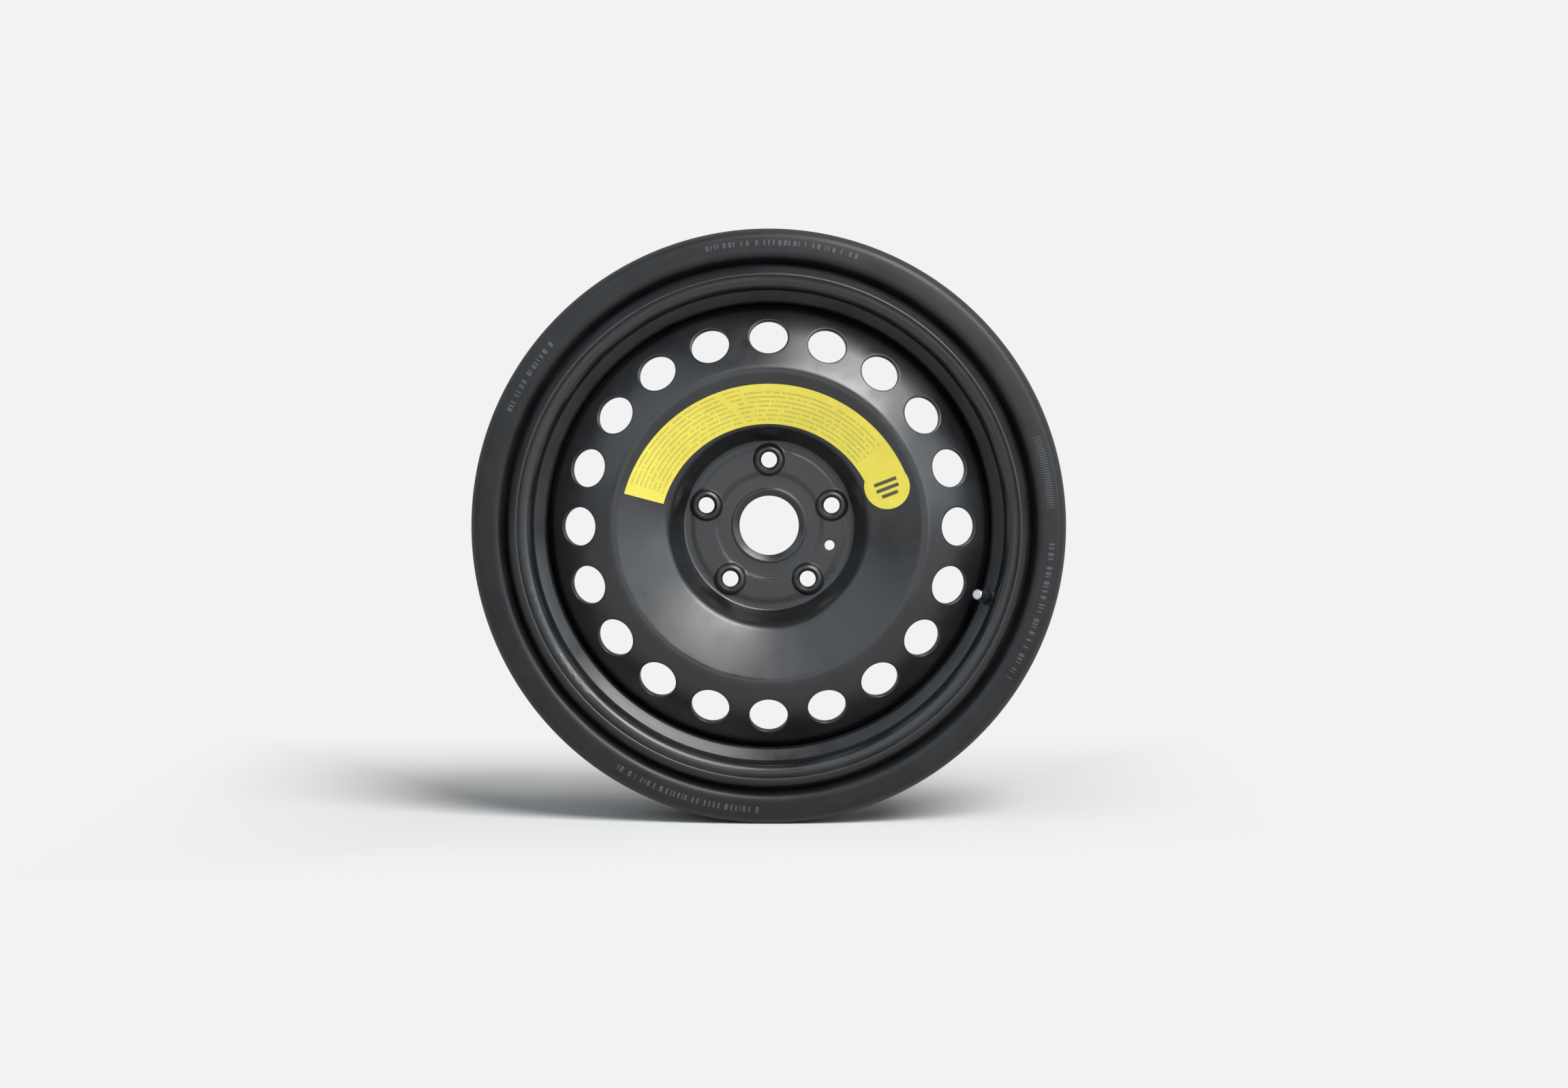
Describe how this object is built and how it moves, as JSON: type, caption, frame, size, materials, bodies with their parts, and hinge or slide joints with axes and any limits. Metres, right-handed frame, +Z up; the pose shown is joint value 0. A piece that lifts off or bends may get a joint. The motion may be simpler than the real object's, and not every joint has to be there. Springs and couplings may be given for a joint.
{
  "type": "space saver spare wheel",
  "caption": "Narrow temporary-use spare car wheel: black pressed steel disc with round vents welded in a rolled rim, thin tyre, yellow arc label and snap-in valve with cap.",
  "frame": {"origin": "centre of the wheel, on its spin axis midway between the rim's two flanges", "axes": "+Y along the spin axis towards the car, so the outer face looks to -Y; +Z up, through the top vent hole; +X to the right seen from the outer face"},
  "size_m": [0.537, 0.1332, 0.537],
  "materials": {
    "tyre_rubber": "matt moulded",
    "wheel_paint": "satin black stove paint",
    "label_film": "satin printed film",
    "valve_rubber": "matt",
    "valve_brass": "turned",
    "seal_plastic": "matt",
    "spring_steel": "drawn wire",
    "cap_metal": "bright nickel plate"
  },
  "bodies": {
    "wheel": {"tyre": "tyre_rubber", "rim": "wheel_paint", "wheel_disc": "wheel_paint", "disc_welds": "wheel_paint", "information_label": "label_film", "valve_body": "valve_rubber", "valve_stem": "valve_brass", "valve_core_plug": "valve_brass", "valve_core_barrel": "valve_brass", "valve_core_seal": "seal_plastic", "valve_core_spring": "spring_steel"},
    "valve_pin": {"valve_core_pin": "valve_brass", "valve_core_cup": "valve_brass", "valve_core_gasket": "valve_rubber"},
    "valve_cap": {"valve_cap": "cap_metal", "valve_cap_seal": "valve_rubber"}
  },
  "joints": [
    {"name": "valve_cap_off", "type": "slide", "parent": "wheel", "child": "valve_cap", "axis": [-0.5455, -0.8192, 0.1772], "range_m": [0, 0.012]},
    {"name": "valve_pin_press", "type": "slide", "parent": "wheel", "child": "valve_pin", "axis": [0.5455, 0.8192, -0.1772], "range_m": [0, 0.0012], "stiffness_N_per_m": 300, "springref_m": -0.0015, "deforming": ["valve_core_spring"]}
  ]
}
